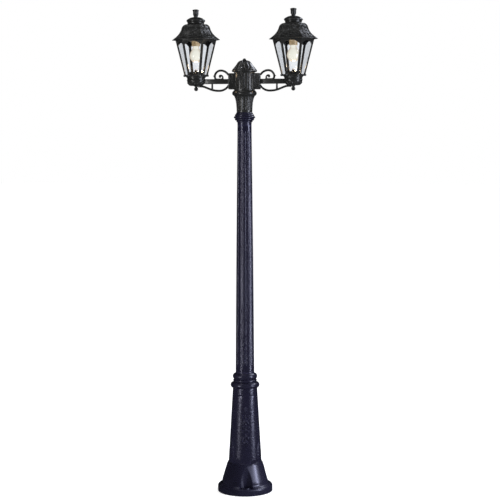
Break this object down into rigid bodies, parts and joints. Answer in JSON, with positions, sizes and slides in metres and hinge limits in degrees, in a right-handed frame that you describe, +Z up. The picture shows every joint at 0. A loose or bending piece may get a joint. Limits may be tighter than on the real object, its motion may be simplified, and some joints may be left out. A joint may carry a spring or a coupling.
{
  "type": "street lamp post",
  "caption": "Classic garden street lamp: bell base, tapered pedestal, fluted shaft, fluted hub and scrolled side arms carrying hexagonal lanterns.",
  "frame": {"origin": "centre of the base's underside, on the pole's axis", "axes": "+Z up along the pole; the two arms lie along X; the screw of the hub cap faces -Y"},
  "size_m": [0.679, 0.257, 2.25],
  "materials": {
    "post_resin": "semi-gloss blue-black",
    "head_resin": "satin black",
    "zinc_steel": "zinc plated",
    "bright_screw": "polished",
    "dark_nut": "black oxide",
    "clear_pane": "clear",
    "seal_rubber": "matte",
    "holder_ceramic": "glazed tan",
    "terminal_plastic": "ivory",
    "bulb_envelope": "clear",
    "bulb_cap_metal": "satin",
    "bulb_light": "warm white, lit"
  },
  "bodies": {
    "post": {"base_plate": "zinc_steel", "core_tube": "zinc_steel", "base_bell": "post_resin", "pedestal": "post_resin", "mid_collar": "post_resin", "shaft": "post_resin", "top_collar": "post_resin", "head_socket": "head_resin", "grub_screws": "zinc_steel", "hub_body": "head_resin", "terminal_block": "terminal_plastic", "hub_cap": "head_resin", "cap_screw": "bright_screw", "left_bracket_plate": "head_resin", "left_bracket_screws": "zinc_steel", "left_arm_bar": "head_resin", "left_upper_scroll": "head_resin", "left_lower_brace": "head_resin", "left_cup": "head_resin", "left_drop_ball": "head_resin", "left_tie_rod": "zinc_steel", "left_foot_nut": "dark_nut", "left_lantern_foot": "head_resin", "left_cage": "head_resin", "left_panes": "clear_pane", "left_gasket": "seal_rubber", "left_bridge": "zinc_steel", "left_stud": "zinc_steel", "left_lampholder": "holder_ceramic", "right_bracket_plate": "head_resin", "right_bracket_screws": "zinc_steel", "right_arm_bar": "head_resin", "right_upper_scroll": "head_resin", "right_lower_brace": "head_resin", "right_cup": "head_resin", "right_drop_ball": "head_resin", "right_tie_rod": "zinc_steel", "right_foot_nut": "dark_nut", "right_lantern_foot": "head_resin", "right_cage": "head_resin", "right_panes": "clear_pane", "right_gasket": "seal_rubber", "right_bridge": "zinc_steel", "right_stud": "zinc_steel", "right_lampholder": "holder_ceramic"},
    "left_roof_cover": {"left_roof": "head_resin", "left_roof_crown": "head_resin"},
    "left_finial": {"left_knob": "head_resin"},
    "left_bulb": {"left_bulb_glass": "bulb_envelope", "left_bulb_cap": "bulb_cap_metal", "left_bulb_filament": "bulb_light"},
    "right_roof_cover": {"right_roof": "head_resin", "right_roof_crown": "head_resin"},
    "right_finial": {"right_knob": "head_resin"},
    "right_bulb": {"right_bulb_glass": "bulb_envelope", "right_bulb_cap": "bulb_cap_metal", "right_bulb_filament": "bulb_light"}
  },
  "joints": [
    {"name": "left_roof_lift", "type": "slide", "parent": "post", "child": "left_roof_cover", "axis": [0, 0, 1], "range_m": [0, 0.16]},
    {"name": "left_knob_turn", "type": "hinge", "parent": "left_roof_cover", "child": "left_finial", "pos_m": [-0.227, 0, 2.23], "axis": [0, 0, 1], "continuous": true},
    {"name": "left_bulb_turn", "type": "hinge", "parent": "post", "child": "left_bulb", "pos_m": [-0.227, 0, 2.1], "axis": [0, 0, 1], "continuous": true},
    {"name": "right_roof_lift", "type": "slide", "parent": "post", "child": "right_roof_cover", "axis": [0, 0, 1], "range_m": [0, 0.16]},
    {"name": "right_knob_turn", "type": "hinge", "parent": "right_roof_cover", "child": "right_finial", "pos_m": [0.227, 0, 2.23], "axis": [0, 0, 1], "continuous": true},
    {"name": "right_bulb_turn", "type": "hinge", "parent": "post", "child": "right_bulb", "pos_m": [0.227, 0, 2.1], "axis": [0, 0, 1], "continuous": true}
  ]
}
